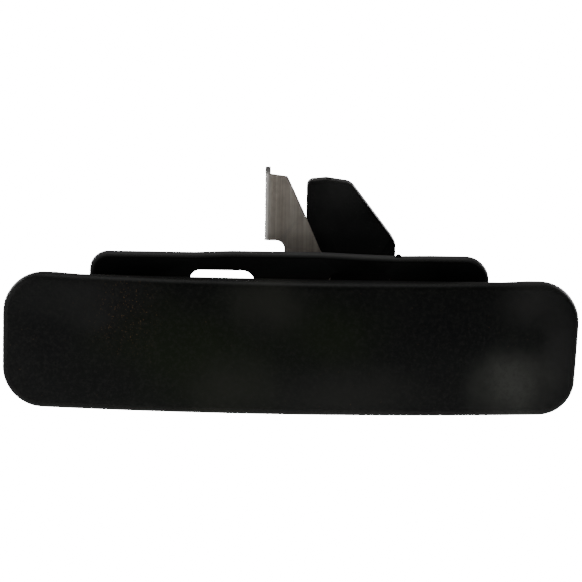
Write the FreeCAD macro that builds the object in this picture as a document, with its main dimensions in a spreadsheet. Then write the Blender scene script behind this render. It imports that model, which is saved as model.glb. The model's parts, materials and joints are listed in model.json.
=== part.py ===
import FreeCAD, Part
import os
import re

import Sketcher
from FreeCAD import Placement, Rotation, Vector

# Exterior pull-flap door handle.
# Frame: origin midway between the two fixing studs, on the face of the door skin (Y = 0).
# +X runs along the handle, +Y goes into the door, +Z is up.  Millimetres.

DIMS = {
    # flap cover: a thin curved shell
    "flap_half": 107.0,
    "flap_top": 10.6,
    "flap_low": -39.6,
    "flap_lean": 2.6,
    "flap_taper": 0.7,
    "flap_sag": 0.7,
    "flap_corner": 15.0,
    "flap_corner_low": 13.4,
    "flap_bow": 500.0,
    "flap_crown": 220.0,
    "flap_front": -23.0,
    "flap_wall": 2.4,
    "flap_skin": 2.6,
    "flap_edge": 2.6,
    "rim_back": -10.6,
    "rim_end_back": -6.3,
    "rim_step": 78.0,
    "rim_end": 88.0,
    "rib_thick": 1.4,
    "boss_r": 3.2,
    "pilot_r": 1.5,
    "pilot_depth": 3.4,
    # hinge line
    "pivot_y": 5.0,
    "pivot_z": 2.5,
    "pin_r": 2.5,
    "pin_half": 46.5,
    "groove_in": 43.8,
    "groove_out": 44.7,
    "groove_r": 2.0,
    # flap carrier
    "carrier_front": -13.0,
    "carrier_back": -10.5,
    "carrier_half": 72.0,
    "carrier_low": -12.0,
    "carrier_top": 6.6,
    "carrier_corner": 4.0,
    "arm_in": 16.0,
    "arm_out": 36.0,
    "knuckle_in": 14.8,
    "knuckle_out": 37.2,
    "knuckle_r": 4.4,
    "seat_r": 3.3,
    "screw_gap_r": 1.6,
    "pad_r": 4.4,
    "pad_back": -9.0,
    "mast_front": 6.0,
    "mast_back": 12.0,
    "mast_low": 6.0,
    "mast_top": 15.0,
    "mast_wall": 1.2,
    # base housing
    "flange_left": -75.3,
    "flange_right": 73.8,
    "flange_low": -14.5,
    "flange_top": 18.3,
    "flange_front": -4.0,
    "flange_back": -1.0,
    "flange_left_r": 7.0,
    "flange_right_r": 9.0,
    "flange_edge": 2.4,
    "hump_rise": 0.65,
    "dip_fall": 0.3,
    "pip_x": 39.9,
    "pip_r": 1.2,
    "window_in": 13.6,
    "window_out": 37.7,
    "window_low": -6.0,
    "window_top": 11.9,
    "window_inner_r": 4.8,
    "window_outer_r": 3.7,
    "spigot_half": 50.0,
    "spigot_low": -10.5,
    "spigot_top": 14.3,
    "spigot_wall": 1.5,
    "spigot_back": 2.5,
    "ear_r": 6.0,
    "ear_bore": 2.52,
    "ear_inner": 8.4,
    "ear_middle_in": 13.4,
    "ear_middle_out": 38.6,
    "ear_outer": 43.6,
    "stud_x": 62.0,
    "stud_r": 3.0,
    "stud_shoulder_r": 3.1,
    "stud_back": 18.0,
    "stud_pad_r": 9.0,
    "stud_hole_r": 3.15,
    "hex_flat": 10.0,
    "hex_pocket_flat": 10.2,
    "hex_front": -3.9,
    "hex_back": -1.9,
    "hex_pocket_back": -1.8,
    "stop_in": 20.0,
    "stop_out": 32.0,
    "stop_low": -9.0,
    "stop_top": -6.3,
    "stop_back": 3.2,
    "stop_pad_thick": 0.9,
    # closing bumpers
    "bumper_x": 44.0,
    "bumper_z": -6.2,
    "bumper_r": 4.0,
    "bumper_tip": -8.9,
    "bumper_stem_r": 1.6,
    "bumper_barb_r": 2.0,
    "bumper_hole_r": 1.7,
    # gasket under the flange
    "gasket_inset": 0.9,
    "gasket_gap": 0.3,
    "gasket_back": 0.6,
    # release lever of folded sheet
    "sheet": 2.0,
    "lever_front": 12.0,
    "lever_left": -10.4,
    "lever_foot": 4.5,
    "lever_flange_back": 37.0,
    "lever_flange_low": 21.5,
    "lever_notch_r": 3.2,
    "lever_tab_top": 48.3,
    "rod_y": 31.0,
    "rod_z": 28.0,
    "rod_r": 3.0,
    "bolt_in": 21.0,
    "bolt_out": 31.0,
    "bolt_z": 10.8,
    "bolt_r": 2.0,
    # counterweight bolted behind the lever
    "weight_back": 24.0,
    "weight_left": 5.3,
    "weight_right": 39.2,
    "weight_top": 44.1,
    "weight_crown": 44.9,
    "weight_low": 5.5,
    "weight_recess_r": 4.4,
    "weight_recess_front": 19.0,
    # return spring
    "wire_r": 0.9,
    "coil_r": 4.8,
    "coil_start": -7.2,
    "coil_end": 2.5,
    "coil_turns": 5.25,
    "fixed_leg": 9.0,
    "moving_leg": 11.0,
    "sleeve_r": 3.6,
    "sleeve_half": 8.2,
}

CARRIER_SCREWS = [(-66, -3), (66, -3), (-47, 3.4), (47, 3.4), (0, 3.4), (0, -8.6)]
RIB_PLACES = [-98, -86, 84, 95]
SIDES = {"left": -1, "right": 1}

os.makedirs("parts", exist_ok=True)
doc = FreeCAD.newDocument("door_handle")
sheet = doc.addObject("Spreadsheet::Sheet", "dims")
for row, (alias, size) in enumerate(DIMS.items(), start=1):
    sheet.set("A%d" % row, alias)
    sheet.set("B%d" % row, str(size))
    sheet.setAlias("B%d" % row, alias)
doc.recompute()

NODES = []


# ---------------------------------------------------------------- expressions and sketches

def bound(text):
    """The expression with every driving dimension written as a cell of the sheet."""
    def cell(word):
        return "dims." + word.group() if word.group() in DIMS else word.group()
    return re.sub(r"[a-z][a-z_]*", cell, str(text))


def value(text):
    return float(sheet.evalExpression(bound(text)))


def bind(thing, path, text):
    thing.setExpression(path, bound(text))


def new_body(label, origin=(0, 0, 0)):
    """A body whose own origin stands at a point given by expressions."""
    body = doc.addObject("PartDesign::Body", label)
    body.Label = label
    for letter, text in zip("xyz", origin):
        bind(body, "Placement.Base." + letter, text)
    return body


def sketch_on(body, plane, level):
    """A sketch parallel to an origin plane, at a height along that plane's normal."""
    sketch = body.newObject("Sketcher::SketchObject", body.Label + "_sketch")
    faces = {feature.Role: feature for feature in body.Origin.OriginFeatures}
    sketch.AttachmentSupport = [(faces[plane], "")]
    sketch.MapMode = "FlatFace"
    bind(sketch, "AttachmentOffset.Base.z", level)
    return sketch


def front_sketch(body, y):
    """Sketch x is X and sketch y is Z; the sketch plane stands at the given Y."""
    return sketch_on(body, "XZ_Plane", "-(%s)" % y)


def side_sketch(body, x):
    """Sketch x is Y and sketch y is Z; the sketch plane stands at the given X."""
    return sketch_on(body, "YZ_Plane", x)


def place(sketch, geometry, point, x, y):
    for kind, text in (("DistanceX", x), ("DistanceY", y)):
        constraint = Sketcher.Constraint(kind, -1, 1, geometry, point, value(text))
        index = sketch.addConstraint(constraint)
        bind(sketch, "Constraints[%d]" % index, text)


def polygon(sketch, points, sag=None):
    """A closed outline of straight sides; with a sag, the last side is a shallow arc instead."""
    corners = [Vector(value(x), value(y), 0) for x, y in points]
    first = sketch.GeometryCount
    count = len(points)
    straight = count - 1 if sag else count
    for i in range(straight):
        sketch.addGeometry(Part.LineSegment(corners[i], corners[(i + 1) % count]))
    for i in range(straight - 1 if sag else count):
        follower = first + (i + 1) % count
        sketch.addConstraint(Sketcher.Constraint("Coincident", first + i, 2, follower, 1))
    for i, (x, y) in enumerate(points[:straight]):
        place(sketch, first + i, 1, x, y)
    if sag:
        add_sagging_side(sketch, first, corners, points, sag)


def add_sagging_side(sketch, first, corners, points, sag):
    """Closes an outline from its last point to its first with an arc that dips by the sag."""
    last = len(points) - 1
    middle = (corners[0] + corners[last]) * 0.5 - Vector(0, value(sag), 0)
    arc = sketch.addGeometry(Part.Arc(corners[0], middle, corners[last]))
    place(sketch, first + last - 1, 2, *points[last])
    sketch.addConstraint(Sketcher.Constraint("Coincident", arc, 1, first, 1))
    sketch.addConstraint(Sketcher.Constraint("Coincident", arc, 2, first + last - 1, 2))
    run = "((%s) - (%s)) ^ 2" % (points[last][0], points[0][0])
    rise = "((%s) - (%s)) ^ 2" % (points[last][1], points[0][1])
    radius = "(%s + %s) / (8 * %s) + %s / 2" % (run, rise, sag, sag)
    index = sketch.addConstraint(Sketcher.Constraint("Radius", arc, value(radius)))
    bind(sketch, "Constraints[%d]" % index, radius)


def rectangle(sketch, left, low, right, top):
    polygon(sketch, [(left, low), (right, low), (right, top), (left, top)])


def circle(sketch, x, y, radius):
    middle = Vector(value(x), value(y), 0)
    index = sketch.addGeometry(Part.Circle(middle, Vector(0, 0, 1), value(radius)))
    place(sketch, index, 3, x, y)
    size = sketch.addConstraint(Sketcher.Constraint("Radius", index, value(radius)))
    bind(sketch, "Constraints[%d]" % size, radius)


def hexagon(sketch, x, y, flat):
    """A hexagon with two upright flats, given its size across flats."""
    tall = "%s / 1.7320508" % flat
    half = "(%s) / 2" % flat
    points = [("%s + %s" % (x, half), "%s - %s / 2" % (y, tall)),
              ("%s + %s" % (x, half), "%s + %s / 2" % (y, tall)),
              (x, "%s + %s" % (y, tall)),
              ("%s - %s" % (x, half), "%s + %s / 2" % (y, tall)),
              ("%s - %s" % (x, half), "%s - %s / 2" % (y, tall)),
              (x, "%s - %s" % (y, tall))]
    polygon(sketch, points)


# ---------------------------------------------------------------- features

def pad(body, sketch, length, reverse=False):
    feature = body.newObject("PartDesign::Pad", body.Label + "_pad")
    feature.Profile = sketch
    feature.Reversed = reverse
    bind(feature, "Length", length)
    return feature


def pocket(body, sketch, length, reverse=False):
    """A pocket that must take material away."""
    doc.recompute()
    before = body.Shape.Volume
    feature = body.newObject("PartDesign::Pocket", body.Label + "_pocket")
    feature.Profile = sketch
    feature.Reversed = reverse
    bind(feature, "Length", length)
    doc.recompute()
    if not body.Shape.Volume < before:
        raise ValueError(body.Label + ": a pocket cuts nothing")
    return feature


def slab(body, draw, front, back):
    """Pads what draw() puts in a front sketch, from Y = front to Y = back."""
    sketch = front_sketch(body, front)
    draw(sketch)
    return pad(body, sketch, "%s - (%s)" % (back, front), reverse=True)


def sink(body, draw, front, back):
    """Cuts what draw() puts in a front sketch, from Y = front to Y = back."""
    sketch = front_sketch(body, front)
    draw(sketch)
    return pocket(body, sketch, "%s - (%s)" % (back, front))


def side_slab(body, draw, left, right):
    """Pads what draw() puts in a side sketch, from X = left to X = right."""
    sketch = side_sketch(body, left)
    draw(sketch)
    return pad(body, sketch, "%s - (%s)" % (right, left))


def side_sink(body, draw, left, right):
    sketch = side_sketch(body, left)
    draw(sketch)
    return pocket(body, sketch, "%s - (%s)" % (right, left), reverse=True)


def edge_names(shape, wanted):
    names = []
    for index, edge in enumerate(shape.Edges, start=1):
        if wanted(edge):
            names.append("Edge%d" % index)
    return names


def round_edges(body, feature, radius, wanted):
    doc.recompute()
    fillet = body.newObject("PartDesign::Fillet", body.Label + "_fillet")
    fillet.Base = (feature, edge_names(feature.Shape, wanted))
    bind(fillet, "Radius", radius)
    return fillet


def ends(side, near, far):
    """The low and high X of a stretch from near to far on one side of the middle."""
    near = "%d * (%s)" % (side, near)
    far = "%d * (%s)" % (side, far)
    return (near, far) if side > 0 else (far, near)


def corner_at(*points):
    """Chooses straight edges along Y that stand at the given X and Z."""
    spots = [(value(x), value(z)) for x, z in points]

    def wanted(edge):
        box = edge.BoundBox
        if box.YLength < 0.5 or box.XLength > 0.01 or box.ZLength > 0.01:
            return False
        return any(abs(box.XMin - x) < 0.02 and abs(box.ZMin - z) < 0.02 for x, z in spots)
    return wanted


def level_at(y):
    """Chooses every edge that lies in the plane Y = y."""
    def wanted(edge):
        box = edge.BoundBox
        return abs(box.YMin - value(y)) < 0.001 and abs(box.YMax - value(y)) < 0.001
    return wanted


def turned(label, origin, profile, axis="Y"):
    """A piece turned about X or Y; the profile holds (along the axis, radius) pairs."""
    body = new_body(label, origin)
    sketch = sketch_on(body, "XY_Plane", "0")
    points = profile if axis == "X" else [(radius, along) for along, radius in profile]
    polygon(sketch, points)
    feature = body.newObject("PartDesign::Revolution", label + "_turn")
    feature.Profile = sketch
    feature.ReferenceAxis = (sketch, ["H_Axis" if axis == "X" else "V_Axis"])
    feature.Angle = 360
    return body


def group(label, pieces):
    """One node that holds several separate pieces."""
    node = doc.addObject("Part::Compound", label)
    node.Label = label
    node.Links = pieces
    return keep(node)


def keep(node):
    NODES.append(node)
    return node


# ---------------------------------------------------------------- flap cover

def flap_outline(body, inset, front, back):
    """The flap's outline as a slab, drawn in from the edge by an inset."""
    left = "-flap_half + %s" % inset
    right_top = "flap_half + flap_lean * 0.4 - %s" % inset
    right_low = "flap_half - flap_lean * 0.6 - %s" % inset
    low = "flap_low + %s" % inset
    top_left = "flap_top + flap_taper / 2 - %s" % inset
    top_right = "flap_top - flap_taper / 2 - %s" % inset
    corners = [(left, top_left), (left, low), (right_low, low), (right_top, top_right)]

    def draw(sketch):
        polygon(sketch, corners, sag="flap_sag")
    base = slab(body, draw, front, back)
    even = round_edges(body, base, "flap_corner - %s" % inset,
                       corner_at(corners[0], corners[1], corners[3]))
    return round_edges(body, even, "flap_corner_low - %s" % inset, corner_at(corners[2]))


def barrel(label, inset):
    """A solid whose front is bowed along the handle and crowned from top to bottom."""
    body = new_body(label, ("0", "flap_front + flap_bow", "(flap_top + flap_low) / 2"))
    sketch = sketch_on(body, "YZ_Plane", "0")
    radius = value("flap_crown - %s" % inset)
    centre = Vector(value("flap_crown - flap_bow"), 0, 0)
    reach = value("flap_half / 2")
    depth = (radius ** 2 - reach ** 2) ** 0.5
    high = Vector(centre.x - depth, reach, 0)
    low = Vector(centre.x - depth, -reach, 0)
    back = value("flap_half / 2 - flap_bow")
    arc = Part.Arc(high, Vector(centre.x - radius, 0, 0), low)
    sketch.addGeometry(arc)
    sketch.addGeometry(Part.LineSegment(low, Vector(back, -reach, 0)))
    sketch.addGeometry(Part.LineSegment(Vector(back, -reach, 0), Vector(back, reach, 0)))
    sketch.addGeometry(Part.LineSegment(Vector(back, reach, 0), high))
    feature = body.newObject("PartDesign::Revolution", label + "_turn")
    feature.Profile = sketch
    feature.ReferenceAxis = (sketch, ["V_Axis"])
    feature.Midplane = True
    feature.Angle = 40
    return body


def flap_cover():
    outline = new_body("flap_outline_solid")
    flap_outline(outline, "0", "-40", "rim_end_back")
    rim = new_body("flap_rim_solid")
    sketch = sketch_on(rim, "XY_Plane", "-flap_half")
    polygon(sketch, [("-flap_half * 1.2", "-60"), ("flap_half * 1.2", "-60"),
                     ("flap_half * 1.2", "rim_end_back"), ("rim_end", "rim_end_back"),
                     ("rim_step", "rim_back"), ("-rim_step", "rim_back"),
                     ("-rim_end", "rim_end_back"), ("-flap_half * 1.2", "rim_end_back")])
    pad(rim, sketch, "flap_half * 2")
    outer = doc.addObject("Part::MultiCommon", "flap_block")
    outer.Shapes = [outline, barrel("flap_face_solid", "0"), rim]
    doc.recompute()
    front_edges = []
    for index, edge in enumerate(outer.Shape.Edges, start=1):
        beside = outer.Shape.ancestorsOfType(edge, Part.Face)
        if any(face.Surface.TypeId == "Part::GeomToroid" for face in beside):
            front_edges.append((index, value("flap_edge"), value("flap_edge")))
    rounded = doc.addObject("Part::Fillet", "flap_rounded")
    rounded.Base = outer
    rounded.Edges = front_edges

    hollow_outline = new_body("flap_hollow_outline")
    flap_outline(hollow_outline, "flap_wall", "-40", "0")
    hollow = doc.addObject("Part::MultiCommon", "flap_hollow")
    hollow.Shapes = [hollow_outline, barrel("flap_hollow_face", "flap_skin")]
    shell = doc.addObject("Part::Cut", "flap_shell")
    shell.Base = rounded
    shell.Tool = hollow

    inner = new_body("flap_inner_features")
    inner.AllowCompound = True

    def bosses(sketch):
        for x, z in CARRIER_SCREWS:
            circle(sketch, x, z, "boss_r")

    def ribs(sketch):
        for x in RIB_PLACES:
            rectangle(sketch, x, "flap_low", "%s + rib_thick" % x, "flap_top")
    slab(inner, bosses, "-40", "carrier_front")
    slab(inner, ribs, "-40", "rim_end_back - 1.5")
    room_outline = new_body("flap_room_outline")
    flap_outline(room_outline, "flap_wall / 2", "-40", "0")
    fitted = doc.addObject("Part::MultiCommon", "flap_inner_fitted")
    fitted.Shapes = [inner, room_outline, barrel("flap_room_face", "flap_skin / 2")]
    whole = doc.addObject("Part::MultiFuse", "flap_whole")
    whole.Shapes = [shell, fitted]

    pilots = new_body("flap_pilot_holes")
    pilots.AllowCompound = True

    def holes(sketch):
        for x, z in CARRIER_SCREWS:
            circle(sketch, x, z, "pilot_r")
    slab(pilots, holes, "carrier_front - pilot_depth", "carrier_front + 1")
    cover = doc.addObject("Part::Cut", "flap_cover")
    cover.Base = whole
    cover.Tool = pilots
    keep(cover)


# ---------------------------------------------------------------- flap carrier

def from_pivot(letter, text):
    return "%s - pivot_%s" % (text, letter)


def flap_carrier():
    """The carrier is drawn about the hinge line, which is its body's origin."""
    body = new_body("flap_carrier", ("0", "pivot_y", "pivot_z"))
    front = from_pivot("y", "carrier_front")
    back = from_pivot("y", "carrier_back")
    low = from_pivot("z", "carrier_low")
    top = from_pivot("z", "carrier_top")
    corners = [("-carrier_half", low), ("carrier_half", low),
               ("carrier_half", top), ("-carrier_half", top)]
    plate = slab(body, lambda sketch: polygon(sketch, corners), front, back)
    round_edges(body, plate, "carrier_corner", corner_at(*corners))

    arm = [(back, "1"), ("-9.4", "3.6"), ("-5", "knuckle_r"), ("0", "knuckle_r"), ("3.6", "1.2"),
           ("4.6", "-0.5"), ("7.6", "-8"), ("4.75", "-9.73"), ("3.35", "-7.3"), ("-3.4", "-3.1"),
           (back, "-9")]
    for side in SIDES.values():
        side_slab(body, lambda sketch: polygon(sketch, arm), *ends(side, "arm_in", "arm_out"))
        side_slab(body, lambda sketch: circle(sketch, "0", "0", "knuckle_r"),
                  *ends(side, "knuckle_in", "knuckle_out"))
    mast = [(from_pivot("y", "mast_front"), "2"), (from_pivot("y", "mast_back"), from_pivot("z", "mast_low")),
            (from_pivot("y", "mast_back"), from_pivot("z", "mast_top")),
            (from_pivot("y", "mast_front"), from_pivot("z", "mast_top"))]
    side_slab(body, lambda sketch: polygon(sketch, mast), "knuckle_in", "knuckle_out")

    def pads(sketch):
        for side in SIDES.values():
            circle(sketch, "%d * bumper_x" % side, from_pivot("z", "bumper_z"), "pad_r")
    slab(body, pads, back, from_pivot("y", "pad_back"))

    def screw_holes(sketch):
        for x, z in CARRIER_SCREWS:
            circle(sketch, x, from_pivot("z", z), "screw_gap_r")
    sink(body, screw_holes, front, back)

    def bolt_holes(sketch):
        for x in ("bolt_in", "bolt_out"):
            circle(sketch, x, from_pivot("z", "bolt_z"), "bolt_r + 0.02")
    sink(body, bolt_holes, from_pivot("y", "mast_front + mast_wall"), from_pivot("y", "mast_back"))
    for side in SIDES.values():
        side_sink(body, lambda sketch: circle(sketch, "0", "0", "seat_r"),
                  *ends(side, "knuckle_in", "knuckle_out"))
    keep(body)


# ---------------------------------------------------------------- base housing

def flange_corners(inset):
    """The flange's outline: two low corners, then the top edge with its hump, then the top left."""
    left = "flange_left + %s" % inset
    right = "flange_right - %s" % inset
    low = "flange_low + %s" % inset
    top = "flange_top - %s" % inset
    crest = "flange_top + hump_rise - %s" % inset
    dip = "flange_top - dip_fall - %s" % inset
    return [(left, low), (right, low), (right, top), ("52", top), ("39", dip), ("27", top), ("11", crest),
            ("-22", crest), ("-36", top), (left, top)]


def flange_slab(body, inset, front, back):
    corners = flange_corners(inset)
    plate = slab(body, lambda sketch: polygon(sketch, corners), front, back)
    left = round_edges(body, plate, "flange_left_r - %s" % inset,
                       corner_at(corners[0], corners[1], corners[-1]))
    return round_edges(body, left, "flange_right_r - %s" % inset, corner_at(corners[2]))


def base_housing():
    body = new_body("base_housing")
    plate = flange_slab(body, "0", "flange_front", "flange_back")
    round_edges(body, plate, "flange_edge", level_at("flange_front"))

    def spigot(sketch):
        rectangle(sketch, "-spigot_half", "spigot_low", "spigot_half", "spigot_top")
        rectangle(sketch, "-spigot_half + spigot_wall", "spigot_low + spigot_wall",
                  "spigot_half - spigot_wall", "spigot_top - spigot_wall")

    def stud_pads(sketch):
        for side in SIDES.values():
            circle(sketch, "%d * stud_x" % side, "0", "stud_pad_r")

    def stops(sketch):
        for side in SIDES.values():
            rectangle(sketch, "%d * stop_in" % side, "stop_low", "%d * stop_out" % side, "stop_top")

    ear = [("flange_back", "pivot_z - ear_r"), ("pivot_y", "pivot_z - ear_r"),
           ("pivot_y", "pivot_z + ear_r"), ("flange_back", "pivot_z + ear_r")]
    slab(body, lambda sketch: circle(sketch, "pip_x", "flange_top - pip_r * 0.6", "pip_r"),
         "flange_front + 1", "flange_back - 0.4")
    slab(body, spigot, "flange_back", "spigot_back")
    slab(body, stud_pads, "flange_back", "0")
    slab(body, stops, "flange_back", "stop_back")
    for side in SIDES.values():
        for near, far in (("ear_inner", "ear_middle_in"), ("ear_middle_out", "ear_outer")):
            left, right = ends(side, near, far)
            side_slab(body, lambda sketch: polygon(sketch, ear), left, right)
            side_slab(body, lambda sketch: circle(sketch, "pivot_y", "pivot_z", "ear_r"), left, right)

    def windows(sketch):
        for side in SIDES.values():
            rectangle(sketch, "%d * window_in" % side, "window_low",
                      "%d * window_out" % side, "window_top")
    cut = sink(body, windows, "flange_front", "flange_back")
    for edge, radius in (("window_in", "window_inner_r"), ("window_out", "window_outer_r")):
        spots = []
        for side in SIDES.values():
            for z in ("window_low", "window_top"):
                spots.append(("%d * %s" % (side, edge), z))
        cut = round_edges(body, cut, radius, corner_at(*spots))

    def stud_holes(sketch):
        for side in SIDES.values():
            circle(sketch, "%d * stud_x" % side, "0", "stud_hole_r")

    def hex_pockets(sketch):
        for side in SIDES.values():
            hexagon(sketch, "%d * stud_x" % side, "0", "hex_pocket_flat")

    def bumper_holes(sketch):
        for side in SIDES.values():
            circle(sketch, "%d * bumper_x" % side, "bumper_z", "bumper_hole_r")
    sink(body, stud_holes, "flange_front", "0")
    sink(body, hex_pockets, "flange_front", "hex_pocket_back")
    sink(body, bumper_holes, "flange_front", "flange_back")
    side_sink(body, lambda sketch: circle(sketch, "pivot_y", "pivot_z", "ear_bore"),
              "-ear_outer", "ear_outer")
    keep(body)


def base_gasket():
    body = new_body("base_gasket")
    flange_slab(body, "gasket_inset", "flange_back", "gasket_back")
    outer = "spigot_half + gasket_gap"
    low = "spigot_low - gasket_gap"
    top = "spigot_top + gasket_gap"

    def opening(sketch):
        rectangle(sketch, "-(%s)" % outer, low, outer, top)

    def pad_holes(sketch):
        for side in SIDES.values():
            circle(sketch, "%d * stud_x" % side, "0", "stud_pad_r + gasket_gap")
    sink(body, opening, "flange_back", "gasket_back")
    sink(body, pad_holes, "flange_back", "gasket_back")
    keep(body)


def studs():
    for name, side in SIDES.items():
        body = new_body("stud_" + name, ("%d * stud_x" % side, "0", "0"))
        slab(body, lambda sketch: hexagon(sketch, "0", "0", "hex_flat"), "hex_front", "hex_back")
        slab(body, lambda sketch: circle(sketch, "0", "0", "stud_shoulder_r"), "hex_back", "0")
        slab(body, lambda sketch: circle(sketch, "0", "0", "stud_r"), "0", "stud_back - 0.8")
        tip = slab(body, lambda sketch: circle(sketch, "0", "0", "stud_r"), "stud_back - 0.8",
                   "stud_back")
        doc.recompute()
        chamfer = body.newObject("PartDesign::Chamfer", body.Label + "_chamfer")
        chamfer.Base = (tip, edge_names(tip.Shape, level_at("stud_back")))
        chamfer.Size = 0.6
        keep(body)


def bumpers():
    profile = [("bumper_tip", 0), ("bumper_tip", "bumper_r - 2"), ("bumper_tip + 1.2", "bumper_r - 0.5"),
               ("bumper_tip + 2.6", "bumper_r"), ("flange_front", "bumper_r"),
               ("flange_front", "bumper_stem_r"), ("flange_back", "bumper_stem_r"),
               ("flange_back", "bumper_barb_r"), ("flange_back + 1.6", "bumper_stem_r * 0.6"),
               ("flange_back + 1.6", 0)]
    for name, side in SIDES.items():
        keep(turned("bumper_" + name, ("%d * bumper_x" % side, "0", "bumper_z"), profile))


def open_stop_pads():
    pieces = []
    for name, side in SIDES.items():
        body = new_body("open_stop_pad_" + name)

        def face(sketch, side=side):
            rectangle(sketch, "%d * stop_in" % side, "stop_low", "%d * stop_out" % side, "stop_top")
        slab(body, face, "stop_back", "stop_back + stop_pad_thick")
        pieces.append(body)
    group("open_stop_pads", pieces)


# ---------------------------------------------------------------- hinge pieces

def pivot_pin():
    end = 0.5
    half = [("groove_in", "pin_r"), ("groove_in", "groove_r"), ("groove_out", "groove_r"),
            ("groove_out", "pin_r"), ("pin_half - %s" % end, "pin_r"), ("pin_half", "pin_r - %s" % end),
            ("pin_half", 0)]
    mirrored = [("-(%s)" % along, radius) for along, radius in reversed(half)]
    keep(turned("pivot_pin", ("0", "pivot_y", "pivot_z"), mirrored + half, axis="X"))


def pin_rings():
    """Open spring rings that snap into the pin's grooves."""
    for name, side in SIDES.items():
        body = new_body("pin_ring_" + name, ("0", "pivot_y", "pivot_z"))
        left, right = ends(side, "groove_in + 0.1", "groove_out - 0.1")

        def ring(sketch):
            circle(sketch, "0", "0", "groove_r + 2.6")
            circle(sketch, "0", "0", "groove_r + 0.05")
        side_slab(body, ring, left, right)
        side_sink(body, lambda sketch: rectangle(sketch, "-1.5", "-6", "1.5", "0"), left, right)
        keep(body)


def thrust_washers():
    pieces = []
    for name, side in SIDES.items():
        for place_name, near in (("inner", "ear_middle_in + 0.05"), ("outer", "knuckle_out + 0.85")):
            left, right = ends(side, near, near + " + 0.5")
            profile = [(left, "pin_r + 0.05"), (right, "pin_r + 0.05"),
                       (right, "pin_r + 2.3"), (left, "pin_r + 2.3")]
            label = "thrust_washer_%s_%s" % (name, place_name)
            pieces.append(turned(label, ("0", "pivot_y", "pivot_z"), profile, axis="X"))
    group("thrust_washers", pieces)


def hinge_bushes():
    """Each arm has two flanged bushes, pushed in from its two ends."""
    bore = "pin_r + 0.05"
    outer = "seat_r - 0.02"
    for name, side in SIDES.items():
        pieces = []
        for place_name, end, inward in (("inner", "knuckle_in", 1), ("outer", "knuckle_out", -1)):
            face = "%d * (%s - %d * 0.75)" % (side, end, inward)
            seat = "%d * (%s - %d * 0.05)" % (side, end, inward)
            tail = "%d * (%s + %d * 8)" % (side, end, inward)
            profile = [(face, bore), (tail, bore), (tail, outer), (seat, outer),
                       (seat, "knuckle_r - 0.2"), (face, "knuckle_r - 0.2")]
            label = "hinge_bush_%s_%s" % (name, place_name)
            pieces.append(turned(label, ("0", "pivot_y", "pivot_z"), profile, axis="X"))
        group("hinge_bush_" + name, pieces)


def spring_sleeve():
    bore = "pin_r + 0.06"
    profile = [("-sleeve_half", bore), ("sleeve_half", bore), ("sleeve_half", "sleeve_r"),
               ("-sleeve_half", "sleeve_r")]
    keep(turned("spring_sleeve", ("0", "pivot_y", "pivot_z"), profile, axis="X"))


def return_spring():
    """A torsion spring about the hinge line, with a leg on the base and a leg in the lever."""
    along = Rotation(Vector(0, -1, 0), Vector(0, 0, -1), Vector(1, 0, 0), "XYZ")
    coil = doc.addObject("Part::Helix", "spring_path")
    bind(coil, "Pitch", "(coil_end - coil_start) / coil_turns")
    bind(coil, "Height", "coil_end - coil_start")
    bind(coil, "Radius", "coil_r")
    coil.LocalCoord = "Left-handed"
    coil.Placement = Placement(Vector(0, 0, 0), along)
    for letter, text in zip("xyz", ("coil_start", "pivot_y", "pivot_z")):
        bind(coil, "Placement.Base." + letter, text)
    section = doc.addObject("Part::Circle", "spring_section")
    bind(section, "Radius", "wire_r")
    for letter, text in zip("xyz", ("coil_start", "pivot_y - coil_r", "pivot_z")):
        bind(section, "Placement.Base." + letter, text)
    doc.recompute()
    wound = doc.addObject("Part::Sweep", "spring_coil")
    wound.Sections = [section]
    wound.Spine = (coil, ["Edge%d" % (i + 1) for i in range(len(coil.Shape.Edges))])
    wound.Solid = True
    wound.Frenet = True
    fixed = doc.addObject("Part::Cylinder", "spring_fixed_leg")
    bind(fixed, "Radius", "wire_r")
    bind(fixed, "Height", "fixed_leg")
    for letter, text in zip("xyz", ("coil_start", "pivot_y - coil_r", "pivot_z - fixed_leg")):
        bind(fixed, "Placement.Base." + letter, text)
    moving = doc.addObject("Part::Cylinder", "spring_moving_leg")
    moving.Placement = Placement(Vector(0, 0, 0), Rotation(Vector(1, 0, 0), -90))
    bind(moving, "Radius", "wire_r")
    bind(moving, "Height", "moving_leg")
    for letter, text in zip("xyz", ("coil_end", "pivot_y", "pivot_z + coil_r")):
        bind(moving, "Placement.Base." + letter, text)
    spring = doc.addObject("Part::MultiFuse", "return_spring")
    spring.Shapes = [wound, fixed, moving]
    keep(spring)


def carrier_screws():
    head = 2.8
    profile = [("carrier_front - pilot_depth + 0.2", 0), ("carrier_front - pilot_depth + 0.2", 0.7),
               ("carrier_front - pilot_depth + 1", "pilot_r - 0.05"), ("carrier_back", "pilot_r - 0.05"),
               ("carrier_back", head), ("carrier_back + 1", head), ("carrier_back + 1.8", head - 1),
               ("carrier_back + 1.8", 0)]
    pieces = []
    for index, (x, z) in enumerate(CARRIER_SCREWS, start=1):
        pieces.append(turned("carrier_screw_%d" % index, (str(x), "0", str(z)), profile))
    group("carrier_screws", pieces)


# ---------------------------------------------------------------- lever and counterweight

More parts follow.
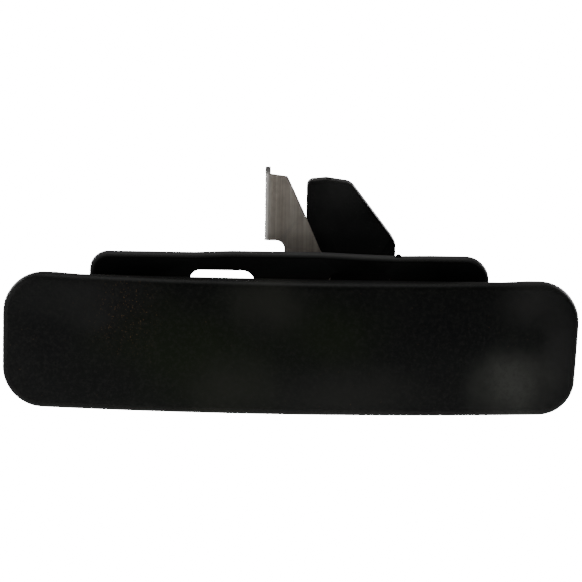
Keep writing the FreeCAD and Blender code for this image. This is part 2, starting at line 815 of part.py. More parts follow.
def release_lever():
    body = new_body("release_lever")
    foot_right = "arm_out"
    neck = "-2.8"
    outline = [("lever_left", "46.9"), ("-2.0", "45.8"), ("-0.4", "42.6"), ("4.2", "32.8"), ("10.8", "17.9"),
               ("12.6", "mast_top"), (foot_right, "mast_top"), (foot_right, "lever_foot"),
               (neck, "lever_foot"), (neck, "lever_flange_low"), ("lever_left", "lever_flange_low")]
    plate = slab(body, lambda sketch: polygon(sketch, outline), "lever_front", "lever_front + sheet")
    soft = round_edges(body, plate, 2, corner_at(outline[2], outline[6], outline[7], outline[8]))
    notch = round_edges(body, soft, "lever_notch_r", corner_at(outline[9]))
    round_edges(body, notch, 0.9, corner_at(outline[1]))
    flange = [("lever_front", "lever_flange_low"), ("lever_flange_back - 4", "lever_flange_low"),
              ("lever_flange_back", "lever_flange_low + 4"), ("lever_flange_back", "36"), ("26", "47.5"),
              ("24", "lever_tab_top"), ("15", "lever_tab_top"), ("13.5", "46.9"), ("lever_front", "46.9")]
    folded = side_slab(body, lambda sketch: polygon(sketch, flange), "lever_left", "lever_left + sheet")

    def bend(edge):
        box = edge.BoundBox
        return (box.ZLength > 5 and box.XLength < 0.01 and box.YLength < 0.01
                and abs(box.XMin - value("lever_left")) < 0.01
                and abs(box.YMin - value("lever_front")) < 0.01)

    def tab_edge(edge):
        box = edge.BoundBox
        return box.YLength > 5 and box.XLength < 0.01 and abs(box.ZMin - value("lever_tab_top")) < 0.01
    bent = round_edges(body, folded, "sheet * 0.95", bend)
    round_edges(body, bent, "sheet * 0.2", tab_edge)

    def bolts(sketch):
        for x in ("bolt_in", "bolt_out"):
            circle(sketch, x, "bolt_z", "bolt_r + 0.2")

    def spring_hole(sketch):
        circle(sketch, "coil_end", "pivot_z + coil_r", "wire_r + 0.3")
    sink(body, bolts, "lever_front", "lever_front + sheet")
    sink(body, spring_hole, "lever_front", "lever_front + sheet")
    side_sink(body, lambda sketch: circle(sketch, "rod_y", "rod_z", "rod_r"),
              "lever_left", "lever_left + sheet")
    keep(body)


def counterweight():
    body = new_body("counterweight")
    front = "lever_front + sheet"
    outline = [("weight_left", "weight_low"), ("weight_right", "weight_low"), ("weight_right", "20.6"),
               ("37.8", "23.2"), ("22", "weight_top - 0.5"), ("12.6", "weight_crown"),
               ("weight_left", "weight_top")]
    block = slab(body, lambda sketch: polygon(sketch, outline), front, "weight_back")
    shoulder = round_edges(body, block, 5, corner_at(outline[4]))
    top_left = round_edges(body, shoulder, 2.6, corner_at(outline[6]))
    soft = round_edges(body, top_left, 1.6, corner_at(*outline[0:4]))
    back = round_edges(body, soft, 0.8, level_at("weight_back"))
    round_edges(body, back, 0.8, level_at(front))

    def bolts(sketch):
        for x in ("bolt_in", "bolt_out"):
            circle(sketch, x, "bolt_z", "bolt_r + 0.3")

    def recesses(sketch):
        for x in ("bolt_in", "bolt_out"):
            circle(sketch, x, "bolt_z", "weight_recess_r")
    sink(body, bolts, front, "weight_back")
    sink(body, recesses, "weight_recess_front", "weight_back")
    keep(body)


def counterweight_screws():
    washer = 0.8
    washers = []
    screws = []
    seat = "weight_recess_front + %s" % washer
    ring = [("weight_recess_front", "bolt_r + 0.15"), (seat, "bolt_r + 0.15"), (seat, 3.8),
            ("weight_recess_front", 3.8)]
    screw = [("mast_front + 1.4", 0), ("mast_front + 1.4", "bolt_r - 0.6"), ("mast_front + 2", "bolt_r"),
             (seat, "bolt_r"), (seat, 3.5), (seat + " + 2.2", 3.5), (seat + " + 2.6", 3.1),
             (seat + " + 2.6", 0)]
    for name in ("in", "out"):
        origin = ("bolt_" + name, "0", "bolt_z")
        washers.append(turned("lock_washer_" + name, origin, ring))
        screws.append(turned("counterweight_screw_" + name, origin, screw))
    group("lock_washers", washers)
    group("counterweight_screws", screws)


for build in (flap_cover, flap_carrier, base_housing, base_gasket, studs, bumpers, open_stop_pads, pivot_pin,
              pin_rings, thrust_washers, hinge_bushes, spring_sleeve, return_spring, carrier_screws,
              release_lever, counterweight, counterweight_screws):
    build()
doc.recompute()

for thing in doc.Objects:
    if "Invalid" in thing.State or "Error" in thing.State:
        raise ValueError(thing.Label + " failed to build")
for node in NODES:
    if node.Shape.isNull() or not node.Shape.isValid():
        raise ValueError(node.Label + " has no valid shape")
for node in NODES:
    node.Shape.exportStep("parts/%s.step" % node.Label)
    print("%-22s %9.1f mm3" % (node.Label, node.Shape.Volume))
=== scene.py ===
import json
import math

import bmesh
import bpy
from mathutils import Matrix, Vector

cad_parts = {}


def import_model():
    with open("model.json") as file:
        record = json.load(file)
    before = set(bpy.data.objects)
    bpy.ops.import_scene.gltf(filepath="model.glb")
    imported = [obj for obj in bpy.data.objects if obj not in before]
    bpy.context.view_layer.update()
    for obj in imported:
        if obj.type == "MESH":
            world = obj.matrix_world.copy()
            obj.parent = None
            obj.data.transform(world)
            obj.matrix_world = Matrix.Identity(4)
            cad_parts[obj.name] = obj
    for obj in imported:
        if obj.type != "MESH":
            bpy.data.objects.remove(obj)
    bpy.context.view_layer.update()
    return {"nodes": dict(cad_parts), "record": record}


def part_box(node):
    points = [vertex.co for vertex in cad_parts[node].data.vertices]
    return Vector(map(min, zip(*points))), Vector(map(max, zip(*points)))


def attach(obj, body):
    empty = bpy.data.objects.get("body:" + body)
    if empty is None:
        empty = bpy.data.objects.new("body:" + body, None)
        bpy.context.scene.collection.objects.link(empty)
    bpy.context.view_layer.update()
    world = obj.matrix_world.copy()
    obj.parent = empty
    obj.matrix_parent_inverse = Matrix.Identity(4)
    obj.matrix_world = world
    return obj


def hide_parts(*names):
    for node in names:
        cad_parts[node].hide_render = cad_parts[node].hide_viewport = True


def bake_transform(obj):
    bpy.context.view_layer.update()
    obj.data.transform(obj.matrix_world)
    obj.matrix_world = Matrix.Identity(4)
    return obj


# Pull-flap door handle: looks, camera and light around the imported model.  Metres, +Z up.

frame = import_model()
NODES = frame["nodes"]
MM = 0.001


# ---------------------------------------------------------------- node helpers

class Shader:
    """A material under construction: a Principled shader and short calls for what feeds it."""

    def __init__(self, name, **constants):
        self.material = bpy.data.materials.new(name)
        self.material.use_nodes = True
        self.tree = self.material.node_tree
        self.nodes = self.tree.nodes
        self.shader = self.nodes["Principled BSDF"]
        self.place = self.nodes.new("ShaderNodeTexCoord").outputs["Object"]
        for socket, amount in constants.items():
            self.shader.inputs[socket.replace("_", " ")].default_value = amount

    def link(self, source, target):
        self.tree.links.new(source, target)

    def stretched(self, x, y, z):
        """Coordinates scaled by different amounts along the three axes."""
        mapping = self.nodes.new("ShaderNodeMapping")
        mapping.inputs["Scale"].default_value = (x, y, z)
        self.link(self.place, mapping.inputs["Vector"])
        return mapping.outputs["Vector"]

    def noise(self, scale, detail=3, rough=0.5, coords=None, distort=0.0):
        node = self.nodes.new("ShaderNodeTexNoise")
        node.inputs["Scale"].default_value = scale
        node.inputs["Detail"].default_value = detail
        node.inputs["Roughness"].default_value = rough
        node.inputs["Distortion"].default_value = distort
        self.link(coords or self.place, node.inputs["Vector"])
        return node.outputs["Fac"]

    def cells(self, scale):
        node = self.nodes.new("ShaderNodeTexVoronoi")
        node.inputs["Scale"].default_value = scale
        self.link(self.place, node.inputs["Vector"])
        return node.outputs["Distance"]

    def ramp(self, source, *stops, ease=False):
        """A colour ramp; each stop is (position, grey or colour)."""
        node = self.nodes.new("ShaderNodeValToRGB")
        node.color_ramp.interpolation = "EASE" if ease else "LINEAR"
        points = node.color_ramp.elements
        while len(points) < len(stops):
            points.new(0.5)
        for point, (position, tone) in zip(points, stops):
            point.position = position
            point.color = (*tone, 1) if isinstance(tone, tuple) else (tone, tone, tone, 1)
        self.link(source, node.inputs["Fac"])
        return node.outputs["Color"]

    def mix(self, amount, first, second, blend="MIX"):
        node = self.nodes.new("ShaderNodeMix")
        node.data_type = "RGBA"
        node.blend_type = blend
        for socket, source in ((node.inputs[0], amount), (node.inputs[6], first), (node.inputs[7], second)):
            if isinstance(source, (int, float)):
                socket.default_value = source
            elif isinstance(source, tuple):
                socket.default_value = (*source, 1)
            else:
                self.link(source, socket)
        return node.outputs[2]

    def maths(self, operation, first, second):
        node = self.nodes.new("ShaderNodeMath")
        node.operation = operation
        for socket, source in zip(node.inputs, (first, second)):
            if isinstance(source, (int, float)):
                socket.default_value = source
            else:
                self.link(source, socket)
        return node.outputs[0]

    def patch(self, node, across, up, wide, high):
        """1 at a spot on a node's face, fading to 0 over an uneven oval; all are shares of the face."""
        near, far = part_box(node)
        size = far - near
        wide, high = wide * size.x, high * size.z
        x, z = near.x + across * size.x, near.z + up * size.z
        mapping = self.nodes.new("ShaderNodeMapping")
        mapping.inputs["Scale"].default_value = (1 / wide, 0, 1 / high)
        mapping.inputs["Location"].default_value = (-x / wide, 0, -z / high)
        self.link(self.place, mapping.inputs["Vector"])
        length = self.nodes.new("ShaderNodeVectorMath")
        length.operation = "LENGTH"
        self.link(mapping.outputs["Vector"], length.inputs[0])
        uneven = self.maths("MULTIPLY", self.maths("SUBTRACT", self.noise(55, 3, 0.6), 0.5), 0.7)
        reach = self.maths("ADD", length.outputs["Value"], uneven)
        return self.ramp(reach, (0.0, 1.0), (1.0, 0.0), ease=True)

    def edges(self, low=0.52, high=0.6):
        """Bright on convex edges, from the mesh's own pointiness."""
        geometry = self.nodes.new("ShaderNodeNewGeometry")
        return self.ramp(geometry.outputs["Pointiness"], (low, 0.0), (high, 1.0))

    def painted_top_light(self, low=0.2, high=0.9):
        """1 on faces that look up and 0 on upright and hanging ones; the mask for a painted highlight on
        tops.
        """
        split = self.nodes.new("ShaderNodeSeparateXYZ")
        self.link(self.nodes.new("ShaderNodeNewGeometry").outputs["Normal"], split.inputs["Vector"])
        return self.ramp(split.outputs["Z"], (low, 0.0), (high, 1.0))

    def axis(self, letter):
        split = self.nodes.new("ShaderNodeSeparateXYZ")
        self.link(self.place, split.inputs["Vector"])
        return split.outputs[letter]

    def colour(self, source):
        self.link(source, self.shader.inputs["Base Color"])

    def roughness(self, source):
        self.link(source, self.shader.inputs["Roughness"])

    def bump(self, *layers):
        """Layers of (height, strength, distance), stacked one on the other."""
        normal = None
        for height, strength, distance in layers:
            node = self.nodes.new("ShaderNodeBump")
            node.inputs["Strength"].default_value = strength
            node.inputs["Distance"].default_value = distance
            self.link(height, node.inputs["Height"])
            if normal:
                self.link(normal, node.inputs["Normal"])
            normal = node.outputs["Normal"]
        self.link(normal, self.shader.inputs["Normal"])


# ---------------------------------------------------------------- materials

FLAP_PAINTED_LIGHT_PATCHES = (    # soft patches of painted reflection (lighter) and painted shade (darker): across, up, width and height as shares of the face, then the tone there
    (0.32, 0.42, 0.26, 0.62, (0.0050, 0.0092, 0.0006)),
    (0.08, 0.45, 0.09, 0.42, (0.0008, 0.0008, 0.0010)),
    (0.77, 0.66, 0.13, 0.40, (0.0008, 0.0008, 0.0010)),
    (0.17, 0.20, 0.15, 0.34, (0.0012, 0.0014, 0.0010)),
    (0.57, 0.60, 0.14, 0.45, (0.0060, 0.0100, 0.0020)),
    (0.13, 0.86, 0.14, 0.30, (0.0150, 0.0150, 0.0147)),
    (0.16, 0.70, 0.07, 0.18, (0.0130, 0.0130, 0.0126)),
    (0.46, 0.84, 0.11, 0.34, (0.0220, 0.0230, 0.0180)),
    (0.41, 0.20, 0.13, 0.38, (0.0170, 0.0190, 0.0130)),
    (0.60, 0.16, 0.20, 0.34, (0.0170, 0.0172, 0.0150)),
    (0.92, 0.86, 0.09, 0.30, (0.0300, 0.0300, 0.0290)),
    (0.97, 0.50, 0.06, 0.55, (0.0260, 0.0260, 0.0258)),
    (0.885, 0.24, 0.095, 0.42, (0.0700, 0.0730, 0.0650)))


def flap_plastic():
    """Satin black moulding: painted reflections and painted shade in soft patches, fine grain, brown dust
    near the left end.
    """
    m = Shader("flap_plastic", Specular_IOR_Level=0.22, IOR=1.48)
    tone = m.ramp(m.noise(40, 4, 0.55, distort=0.4), (0.36, (0.0012, 0.0013, 0.0013)),
                  (0.66, (0.0050, 0.0052, 0.0046)))
    # each patch mixes in a tone that is a painted reflection where it is lighter and painted shade where it
    # is darker
    for across, up, wide, high, painted_light_tone in FLAP_PAINTED_LIGHT_PATCHES:
        tone = m.mix(m.patch("flap_cover", across, up, wide, high), tone, painted_light_tone)
    mottle = m.mix(m.ramp(m.noise(700, 4, 0.7), (0.46, 0.0), (0.74, 0.5)), tone, (0.024, 0.0235, 0.0205))
    flecks = m.ramp(m.noise(1500, 2, 0.7), (0.62, 0.0), (0.72, 1.0))
    dusty = m.mix(1.0, flecks, m.patch("flap_cover", 0.215, 0.74, 0.085, 0.5), "MULTIPLY")
    stray = m.mix(0.3, (0, 0, 0), m.ramp(m.noise(900, 2, 0.8), (0.71, 0.0), (0.78, 1.0)))
    specks = m.mix(1.0, dusty, stray, "ADD")
    m.colour(m.mix(specks, mottle, (0.150, 0.088, 0.040)))
    smear = m.noise(14, 5, 0.6, m.stretched(0.7, 1, 1.6), distort=0.6)
    grain = m.noise(2600, 2, 0.6)
    m.roughness(m.mix(0.25, m.ramp(smear, (0.3, 0.42), (0.7, 0.58)), m.ramp(grain, (0.3, 0.3), (0.7, 0.7))))
    m.bump((grain, 0.10, 0.05 * MM), (m.noise(60, 2), 0.05, 0.6 * MM))
    return m.material


def base_plastic():
    """Semi-gloss black moulding with a faint flow grain, rubbed edges and a painted highlight on up-facing
    tops.
    """
    m = Shader("base_plastic", Specular_IOR_Level=0.1)
    tone = m.ramp(m.noise(45, 4, 0.6, m.stretched(0.5, 1, 1.4)), (0.35, (0.0012, 0.0012, 0.0013)),
                  (0.7, (0.0034, 0.0034, 0.0033)))
    worn = m.mix(m.edges(0.53, 0.62), tone, (0.014, 0.014, 0.0135))
    # painted highlight: up-facing tops made lighter, standing in for light caught on the top roll
    m.colour(m.mix(m.painted_top_light(0.12, 0.7), worn, (0.060, 0.060, 0.059)))
    grain = m.noise(2200, 2, 0.6)
    m.roughness(m.mix(0.3, m.ramp(m.noise(80, 3), (0.3, 0.34), (0.7, 0.48)), grain))
    m.bump((grain, 0.12, 0.05 * MM), (m.noise(150, 2), 0.04, 0.3 * MM))
    return m.material


def carrier_nylon():
    """Glass-filled nylon: dull, with short pale fibres near the surface."""
    m = Shader("carrier_nylon", Specular_IOR_Level=0.35)
    fibres = m.ramp(m.noise(900, 3, 0.7, m.stretched(0.25, 1, 1)), (0.55, 0.0), (0.72, 1.0))
    tone = m.ramp(m.noise(60, 4), (0.3, (0.007, 0.007, 0.0072)), (0.7, (0.013, 0.013, 0.0128)))
    m.colour(m.mix(m.mix(0.35, (0, 0, 0), fibres), tone, (0.034, 0.033, 0.031)))
    m.roughness(m.ramp(m.noise(700, 3), (0.3, 0.5), (0.7, 0.72)))
    m.bump((m.noise(1600, 3), 0.22, 0.06 * MM))
    return m.material


def galvanised_sheet():
    """Dull zinc-coated sheet: rolled streaks up the blade, spangle, faint stains, bright edges and a
    painted highlight down the bend at the left edge.
    """
    m = Shader("galvanised_sheet", Metallic=0.55, Specular_IOR_Level=0.3)
    streaks = m.noise(1.0, 5, 0.7, m.stretched(430, 430, 7))
    broad = m.noise(1.0, 3, 0.5, m.stretched(150, 150, 12))
    spangle = m.cells(420)
    base = m.ramp(streaks, (0.38, (0.38, 0.315, 0.255)), (0.50, (0.58, 0.525, 0.455)),
                  (0.63, (0.84, 0.80, 0.73)))
    toned = m.mix(0.38, base, m.ramp(broad, (0.38, (0.47, 0.385, 0.30)), (0.62, (0.68, 0.63, 0.555))))
    mottled = m.mix(0.18, toned, m.ramp(spangle, (0.0, 0.45), (0.8, 0.16)), "OVERLAY")
    stain = m.ramp(m.noise(120, 4, 0.7), (0.58, 0.0), (0.8, 0.35))
    aged = m.mix(stain, mottled, (0.16, 0.13, 0.10))
    worn = m.mix(m.edges(0.56, 0.66), aged, (0.30, 0.285, 0.26))
    low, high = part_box("release_lever")
    dark_tip, tip_fade, bend_width = 2.2 * MM, 1.6 * MM, 2.6 * MM
    above = m.maths("DIVIDE", m.maths("SUBTRACT", m.axis("Z"), high.z - dark_tip), tip_fade)
    along = m.maths("DIVIDE", m.maths("SUBTRACT", m.axis("X"), low.x), bend_width)
    # painted highlight: a lighter band down the bend at the left edge, fading out over bend_width
    with_painted_bend_highlight = m.mix(m.ramp(along, (0.1, 0.6), (1.0, 0.0), ease=True), worn, (0.80, 0.79, 0.76))
    m.colour(m.mix(m.ramp(above, (0.1, 0.0), (0.8, 0.92)), with_painted_bend_highlight, (0.095, 0.094, 0.092)))
    cloudy = m.ramp(m.noise(90, 3), (0.3, 0.3), (0.7, 0.6))
    m.roughness(m.mix(0.4, m.ramp(streaks, (0.3, 0.34), (0.7, 0.58)), cloudy))
    m.bump((streaks, 0.16, 0.04 * MM), (spangle, 0.05, 0.05 * MM))
    return m.material


def coated_casting():
    """Black e-coat over a die casting: slightly orange-peeled gloss, thin on the edges, with a painted pool
    of light near the top and a painted highlight on up-facing tops.
    """
    m = Shader("coated_casting", Specular_IOR_Level=0.15)
    tone = m.ramp(m.noise(90, 4, 0.6), (0.35, (0.0008, 0.0008, 0.0009)), (0.7, (0.0034, 0.0034, 0.0035)))
    # painted light: a soft lighter pool near the top left of the counterweight face
    tone = m.mix(m.patch("counterweight", 0.36, 0.94, 0.50, 0.42), tone, (0.027, 0.027, 0.0262))
    worn = m.mix(m.edges(0.54, 0.64), tone, (0.022, 0.0215, 0.021))
    # painted highlight: up-facing tops made lighter
    m.colour(m.mix(m.painted_top_light(0.6, 1.0), worn, (0.045, 0.044, 0.042)))
    m.roughness(m.ramp(m.noise(260, 4, 0.6), (0.3, 0.36), (0.7, 0.54)))
    m.bump((m.noise(700, 3, 0.6), 0.22, 0.10 * MM), (m.noise(130, 3), 0.10, 0.3 * MM))
    return m.material


def plated_hardware():
    """Bright zinc plating with a faint yellow-blue passivation and fine scratches."""
    m = Shader("plated_hardware", Metallic=1.0)
    tint = m.ramp(m.noise(240, 3, 0.6), (0.3, (0.56, 0.57, 0.60)), (0.5, (0.66, 0.64, 0.56)),
                  (0.7, (0.60, 0.58, 0.53)))
    scratches = m.noise(1.0, 4, 0.7, m.stretched(400, 2600, 2600))
    m.colour(m.mix(m.edges(0.53, 0.6), tint, (0.78, 0.78, 0.77)))
    m.roughness(m.ramp(scratches, (0.3, 0.22), (0.7, 0.42)))
    m.bump((scratches, 0.10, 0.02 * MM))
    return m.material


def spring_steel():
    """Oil-tempered wire and strip: dark grey-brown with drawing marks."""
    m = Shader("spring_steel", Metallic=1.0)
    m.colour(m.ramp(m.noise(500, 4, 0.6), (0.3, (0.10, 0.095, 0.09)), (0.7, (0.24, 0.22, 0.20))))
    m.roughness(m.ramp(m.noise(1400, 3), (0.3, 0.26), (0.7, 0.44)))
    m.bump((m.noise(1800, 3), 0.12, 0.02 * MM))
    return m.material


def rubber():
    """Matt moulded rubber with a film of pale dust."""
    m = Shader("rubber", Specular_IOR_Level=0.3)
    tone = m.ramp(m.noise(400, 4), (0.3, (0.009, 0.009, 0.009)), (0.7, (0.020, 0.020, 0.019)))
    m.colour(m.mix(m.ramp(m.noise(2400, 2), (0.62, 0.0), (0.75, 0.4)), tone, (0.06, 0.058, 0.054)))
    m.roughness(m.ramp(m.noise(900, 3), (0.3, 0.66), (0.7, 0.86)))
    m.bump((m.noise(2600, 3), 0.3, 0.05 * MM))
    return m.material


def gasket_foam():
    """Dense closed-cell foam: small pits over a dark sheet."""
    m = Shader("gasket_foam", Specular_IOR_Level=0.2)
    pits = m.cells(1300)
    m.colour(m.ramp(pits, (0.05, (0.006, 0.006, 0.006)), (0.5, (0.026, 0.026, 0.027))))
    m.roughness(m.ramp(m.noise(600, 3), (0.3, 0.8), (0.7, 0.96)))
    m.bump((pits, 0.6, 0.15 * MM))
    return m.material


def acetal():
    """Natural acetal: milky white with a slight greased smear."""
    m = Shader("acetal", Specular_IOR_Level=0.45, Subsurface_Weight=0.12, Subsurface_Scale=0.001)
    m.colour(m.ramp(m.noise(260, 4, 0.6), (0.3, (0.66, 0.64, 0.58)), (0.7, (0.80, 0.79, 0.75))))
    m.roughness(m.ramp(m.noise(500, 3), (0.3, 0.3), (0.7, 0.5)))
    m.bump((m.noise(1500, 2), 0.08, 0.03 * MM))
    return m.material


MAKERS = {maker.__name__: maker for maker in (
    flap_plastic, base_plastic, carrier_nylon, galvanised_sheet, coated_casting, plated_hardware,
    spring_steel, rubber, gasket_foam, acetal)}
FINISH = {name: maker() for name, maker in MAKERS.items()}
SLOT_OF = {entry["node"]: entry["material_slot"] for entry in frame["record"]["subparts"]}

for name, node in NODES.items():
    for slot in node.material_slots:
        slot.material = FINISH[SLOT_OF[name]]


# ---------------------------------------------------------------- mesh helpers

def islands(name):
    """The box of each separate solid in a CAD node, from left to right."""
    work = bmesh.new()
    work.from_mesh(NODES[name].data)
    bmesh.ops.remove_doubles(work, verts=work.verts, dist=0.005 * MM)
    waiting = set(work.verts)
    boxes = []
    while waiting:
        edge = [waiting.pop()]
        points = []
        while edge:
            vert = edge.pop()
            points.append(vert.co.copy())
            for link in vert.link_edges:
                other = link.other_vert(vert)
                if other in waiting:
                    waiting.discard(other)
                    edge.append(other)
        boxes.append((Vector([min(p[i] for p in points) for i in range(3)]),
                      Vector([max(p[i] for p in points) for i in range(3)])))
    work.free()
    return sorted(boxes, key=lambda box: (round(box[0].x, 4), box[0].z))


def piece(name, rings, body, slot, *stands_for):
    """A closed skin over equal rings of points, riding on a body in one finish."""
    work = bmesh.new()
    rows = [[work.verts.new(point) for point in ring] for ring in rings]
    count = len(rows[0])
    for first, second in zip(rows, rows[1:]):
        for here in range(count):
            after = (here + 1) % count
            work.faces.new((first[here], first[after], second[after], second[here]))
    work.faces.new(rows[0])
    work.faces.new(list(reversed(rows[-1])))
    bmesh.ops.recalc_face_normals(work, faces=work.faces)
    mesh = bpy.data.meshes.new(name)
    work.to_mesh(mesh)
    work.free()
    mesh.shade_smooth()
    mesh.set_sharp_from_angle(angle=math.radians(34))
    mesh.materials.append(FINISH[slot])
    made = bpy.data.objects.new(name, mesh)
    bpy.context.scene.collection.objects.link(made)
    if body:
        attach(made, body)
    if stands_for:
        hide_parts(*stands_for)
    return made


def turned(x, z, sections, count):
    """Rings about a line along Y; a section is a place on it with a radius, or a radius for each angle."""
    rings = []
    for along, radius in sections:
        ring = []
        for step in range(count):
            angle = math.tau * step / count
            reach = radius(angle) if callable(radius) else radius
            ring.append(Vector((x + reach * math.sin(angle), along, z + reach * math.cos(angle))))
        rings.append(ring)
    return rings


def hexagonal(half_flat, limit):
    """The radius of a hexagon with its corners up and down, cut off at a limit."""
    return lambda angle: min(limit, half_flat / math.cos(angle % (math.pi / 3) - math.pi / 6))


def crossed(reach, half_width):
    """The radius of a cross-shaped recess."""
    def radius(angle):
        off = abs((angle + math.pi / 4) % (math.pi / 2) - math.pi / 4)
        return min(reach / math.cos(off), half_width / max(math.sin(off), 1e-6))
    return radius


def threaded(along, pitch, root, depth, limit):
    """The radius of a screw thread at a place along its axis."""
    def radius(angle):
        share = (along / pitch - angle / math.tau) % 1
        return min(limit, root + depth * min(1, 2.4 * (0.5 - abs(share - 0.5))))
    return radius


# ---------------------------------------------------------------- detailed hardware

THREAD_PITCH = 1.0 * MM
THREAD_STEPS = 10


def door_stud(name):
    """A hexagon-headed fixing stud with a rolled thread."""
    low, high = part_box(name)
    x = (low.x + high.x) / 2
    flat = (high.x - low.x) / 2
    seat = low.y + 2.0 * MM
    corners = hexagonal(flat, 1.16 * flat)
    shoulder, outer, root = 3.1 * MM, 3.0 * MM, 2.45 * MM
    sections = [(low.y, 0.6 * flat), (low.y, hexagonal(flat, 0.95 * flat)),
                (low.y + 0.18 * MM, hexagonal(flat, 1.02 * flat)), (low.y + 0.45 * MM, corners),
                (seat, corners), (seat, shoulder), (0.0, shoulder), (0.15 * MM, 2.9 * MM)]
    start, end = 0.4 * MM, high.y
    rows = int((end - start) / THREAD_PITCH * THREAD_STEPS)
    for row in range(rows + 1):
        along = start + (end - start) * row / rows
        limit = min(outer, root + 0.1 * MM + (end - along) * 0.7, root + 0.1 * MM + (along - start) * 1.2)
        sections.append((along, threaded(along, THREAD_PITCH, root, outer - root, limit)))
    piece("threaded_" + name, turned(x, 0.0, sections, 48), "base", "plated_hardware", name)


def carrier_screw(number, low, high):
    """A pan-headed thread-forming screw with a cross recess."""
    x, z = (low.x + high.x) / 2, (low.z + high.z) / 2
    top, seat = high.y, high.y - 1.8 * MM
    rim = (high.x - low.x) / 2
    sections = [(low.y, 0.6 * MM), (low.y + 0.9 * MM, 1.4 * MM), (seat, 1.4 * MM), (seat, 0.93 * rim),
                (seat + 0.15 * MM, rim), (seat + 0.85 * MM, rim), (seat + 1.25 * MM, 0.93 * rim),
                (seat + 1.55 * MM, 0.8 * rim), (top, 0.6 * rim), (top, crossed(1.45 * MM, 0.36 * MM)),
                (top - 0.95 * MM, crossed(1.05 * MM, 0.28 * MM)),
                (top - 1.3 * MM, crossed(0.5 * MM, 0.2 * MM))]
    piece("carrier_screw_%d" % number, turned(x, z, sections, 96), "flap", "plated_hardware",
          "carrier_screws")


def socket_screw(number, low, high):
    """A socket-headed screw with a knurled head and a hexagon socket."""
    x, z = (low.x + high.x) / 2, (low.z + high.z) / 2
    top, seat = high.y, high.y - 2.6 * MM
    head = (high.x - low.x) / 2
    shank, socket = 2.0 * MM, 1.5 * MM
    recess = hexagonal(socket, 2 * socket)

    def knurled(angle):
        return head - 0.11 * MM * (0.5 + 0.5 * math.cos(36 * angle))
    sections = [(low.y, shank - 0.6 * MM), (low.y + 0.6 * MM, shank), (seat, shank), (seat, 0.94 * head),
                (seat + 0.2 * MM, knurled), (top - 0.45 * MM, knurled), (top - 0.12 * MM, 0.93 * head),
                (top, 0.86 * head), (top, hexagonal(1.12 * socket, 2 * socket)),
                (top - 0.15 * MM, recess), (top - 1.6 * MM, recess), (top - 1.9 * MM, 0.2 * MM)]
    piece("socket_screw_%d" % number, turned(x, z, sections, 180), "flap", "plated_hardware",
          "counterweight_screws")


def split_washer(number, low, high):
    """A spring lock washer with its slanting split."""
    x, z = (low.x + high.x) / 2, (low.z + high.z) / 2
    outer, inner, soft = (high.x - low.x) / 2, 2.15 * MM, 0.12 * MM
    section = [(inner + soft, low.y), (outer - soft, low.y), (outer, low.y + soft),
               (outer, high.y - soft), (outer - soft, high.y), (inner + soft, high.y),
               (inner, high.y - soft), (inner, low.y + soft)]
    gap, steps, slant = 0.22, 72, 0.16
    rings = []
    for step in range(steps + 1):
        turn = gap + (math.tau - 2 * gap) * step / steps
        ring = []
        for reach, along in section:
            angle = turn + slant * (along - low.y) / (high.y - low.y)
            ring.append(Vector((x + reach * math.sin(angle), along, z + reach * math.cos(angle))))
        rings.append(ring)
    piece("lock_washer_%d" % number, rings, "flap", "spring_steel", "lock_washers")


def torsion_spring():
    """Round wire: a leg down the base, the turns about the hinge line, a leg back into the lever."""
    low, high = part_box("return_spring")
    hinge = (Vector(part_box("pivot_pin")[0]) + Vector(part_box("pivot_pin")[1])) / 2
    wire = 0.9 * MM
    start_x, end_x = low.x + wire, high.x - wire
    coil = high.z - wire - hinge.z
    turns, per_turn, leg_steps = 5.25, 40, 14
    leg_foot = low.z + 0.02 * MM
    path = [Vector((start_x, hinge.y - coil, leg_foot + (hinge.z - leg_foot) * i / leg_steps))
            for i in range(leg_steps)]
    steps = int(turns * per_turn)
    for step in range(steps + 1):
        angle = math.tau * turns * step / steps
        path.append(Vector((start_x + (end_x - start_x) * step / steps, hinge.y - coil * math.cos(angle),
                            hinge.z + coil * math.sin(angle))))
    path += [Vector((end_x, hinge.y + (high.y - hinge.y) * i / leg_steps, hinge.z + coil))
             for i in range(1, leg_steps + 1)]
    across = Vector((1, 0, 0))
    around = 16
    rings = []
    last = len(path) - 1
    for i, point in enumerate(path):
        tangent = (path[min(i + 1, last)] - path[max(i - 1, 0)]).normalized()
        across = (across - tangent * across.dot(tangent)).normalized()
        up = tangent.cross(across)
        radius = 0.8 * wire if i in (0, last) else wire
        ring = []
        for step in range(around):
            angle = math.tau * step / around
            ring.append(point + radius * (math.cos(angle) * across + math.sin(angle) * up))
        rings.append(ring)
    made = piece("torsion_spring", rings, None, "spring_steel", "return_spring")
    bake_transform(made)


def gate_mark():
    """The stub of a casting gate on the counterweight's crown."""
    low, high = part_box("counterweight")
    x, y = low.x + 0.24 * (high.x - low.x), low.y + 2.2 * MM
    sections = [(-0.5 * MM, 1.5 * MM), (-0.05 * MM, 1.4 * MM), (0.28 * MM, 1.1 * MM), (0.42 * MM, 0.6 * MM)]
    flattened, count = 0.7, 32
    rings = []
    for rise, reach in sections:
        ring = []
        for step in range(count):
            angle = math.tau * step / count
            ring.append(Vector((x + reach * math.sin(angle), y + flattened * reach * math.cos(angle),
                                high.z + rise)))
        rings.append(ring)
    piece("casting_gate_mark", rings, "flap", "coated_casting")


door_stud("stud_left")
door_stud("stud_right")
for number, (low, high) in enumerate(islands("carrier_screws"), start=1):
    carrier_screw(number, low, high)
for number, (low, high) in enumerate(islands("counterweight_screws"), start=1):
    socket_screw(number, low, high)
for number, (low, high) in enumerate(islands("lock_washers"), start=1):
    split_washer(number, low, high)
torsion_spring()
gate_mark()


# ---------------------------------------------------------------- camera

PHOTO_ELEVATION = math.radians(8.5)
PHOTO_ROLL = math.radians(0.95)
DISTANCE = 1.3
FIELD_WIDTH = 0.2162
AIM_RISE = 20.6 * MM
SENSOR_WIDTH = 36

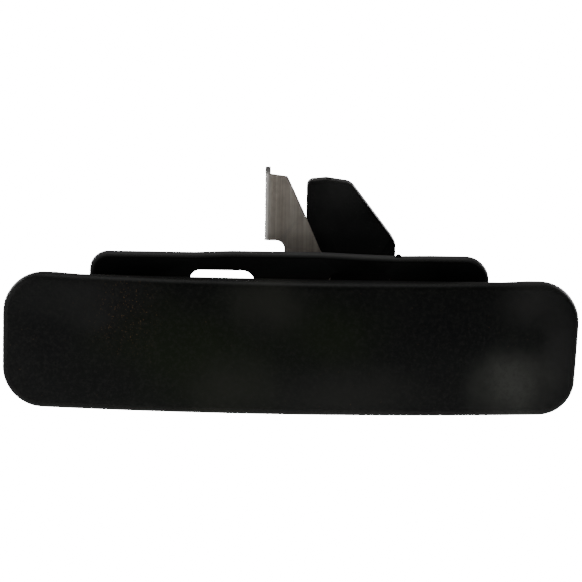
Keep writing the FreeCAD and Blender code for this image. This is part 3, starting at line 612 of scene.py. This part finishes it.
target = Vector((0, -12 * MM, -15 * MM))
eye = target + DISTANCE * Vector((0, -math.cos(PHOTO_ELEVATION), math.sin(PHOTO_ELEVATION)))
aim = target + Vector((0, 0, AIM_RISE))
camera_data = bpy.data.cameras.new("camera")
camera = bpy.data.objects.new("camera", camera_data)
bpy.context.scene.collection.objects.link(camera)
camera_data.sensor_width = SENSOR_WIDTH
camera_data.lens = SENSOR_WIDTH * DISTANCE / FIELD_WIDTH
camera_data.clip_start = 0.05
camera_data.clip_end = 30
facing = (aim - eye).to_track_quat("-Z", "Y").to_matrix().to_4x4()
camera.matrix_world = Matrix.Translation(eye) @ facing @ Matrix.Rotation(PHOTO_ROLL, 4, "Z")
bpy.context.scene.camera = camera


# ---------------------------------------------------------------- floor, world and lights

WHITE = 17    # strength that the camera sees as pure white
FLOOR_DROP = 0.11
FLOOR_HALF = 4.0


def floor():
    """A pale floor well under the handle, which the camera sees as white."""
    mesh = bpy.data.meshes.new("floor")
    half = FLOOR_HALF
    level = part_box("flap_cover")[0].z - FLOOR_DROP
    corners = [(-half, -half, level), (half, -half, level), (half, half, level), (-half, half, level)]
    mesh.from_pydata(corners, [], [(0, 1, 2, 3)])
    sheet = bpy.data.objects.new("floor", mesh)
    bpy.context.scene.collection.objects.link(sheet)
    m = Shader("pale_floor", Roughness=0.9, Specular_IOR_Level=0.2)
    m.colour(m.ramp(m.noise(3, 2), (0.3, 0.86), (0.7, 0.88)))
    path = m.nodes.new("ShaderNodeLightPath")
    m.shader.inputs["Emission Color"].default_value = (1, 1, 1, 1)
    glow = m.maths("MULTIPLY", path.outputs["Is Camera Ray"], WHITE)
    m.link(glow, m.shader.inputs["Emission Strength"])
    mesh.materials.append(m.material)


def soft_box(name, place, aim_at, size, power, spread=180):
    data = bpy.data.lights.new(name, "AREA")
    data.spread = math.radians(spread)
    data.shape = "RECTANGLE"
    data.size, data.size_y = size
    data.energy = power
    lamp = bpy.data.objects.new(name, data)
    bpy.context.scene.collection.objects.link(lamp)
    lamp.location = place
    lamp.rotation_euler = (Vector(aim_at) - Vector(place)).to_track_quat("-Z", "Y").to_euler()
    lamp.visible_camera = False


def world(seen, cast):
    """A white surround for the camera, and a dimmer one for the light that it casts."""
    scene_world = bpy.data.worlds.new("studio")
    bpy.context.scene.world = scene_world
    scene_world.use_nodes = True
    tree = scene_world.node_tree
    background = tree.nodes["Background"]
    background.inputs["Color"].default_value = (1, 1, 1, 1)
    path = tree.nodes.new("ShaderNodeLightPath")
    strength = tree.nodes.new("ShaderNodeMix")
    strength.inputs[2].default_value = cast
    strength.inputs[3].default_value = seen
    tree.links.new(path.outputs["Is Camera Ray"], strength.inputs[0])
    tree.links.new(strength.outputs[0], background.inputs["Strength"])


floor()
world(seen=WHITE, cast=0.085)
soft_box("key_above", (-0.1, 0.0, 1.15), (0, 0, 0), (1.0, 0.7), 4.0)
soft_box("back_left", (-1.0, 0.85, 0.42), (0, 0, 0), (0.5, 0.45), 1.5, spread=60)
soft_box("back_right", (1.0, 0.85, 0.42), (0, 0, 0), (0.5, 0.45), 2.0, spread=60)
soft_box("back_low_left", (-0.5, 0.8, -0.07), (0, 0, 0.02), (0.3, 0.1), 0.5, spread=30)
soft_box("back_low_right", (0.5, 0.8, -0.07), (0, 0, 0.02), (0.3, 0.1), 0.7, spread=30)
soft_box("left_side", (-0.95, -0.45, 0.2), (0, 0, 0.02), (0.5, 0.5), 2.6)
soft_box("left_card", (-0.52, -1.08, 0.05), (-0.05, 0, 0), (0.45, 0.35), 0.05)
soft_box("low_right_card", (0.21, -0.36, -0.145), (0.07, 0, -0.03), (0.10, 0.10), 0.05)

bpy.context.view_layer.update()
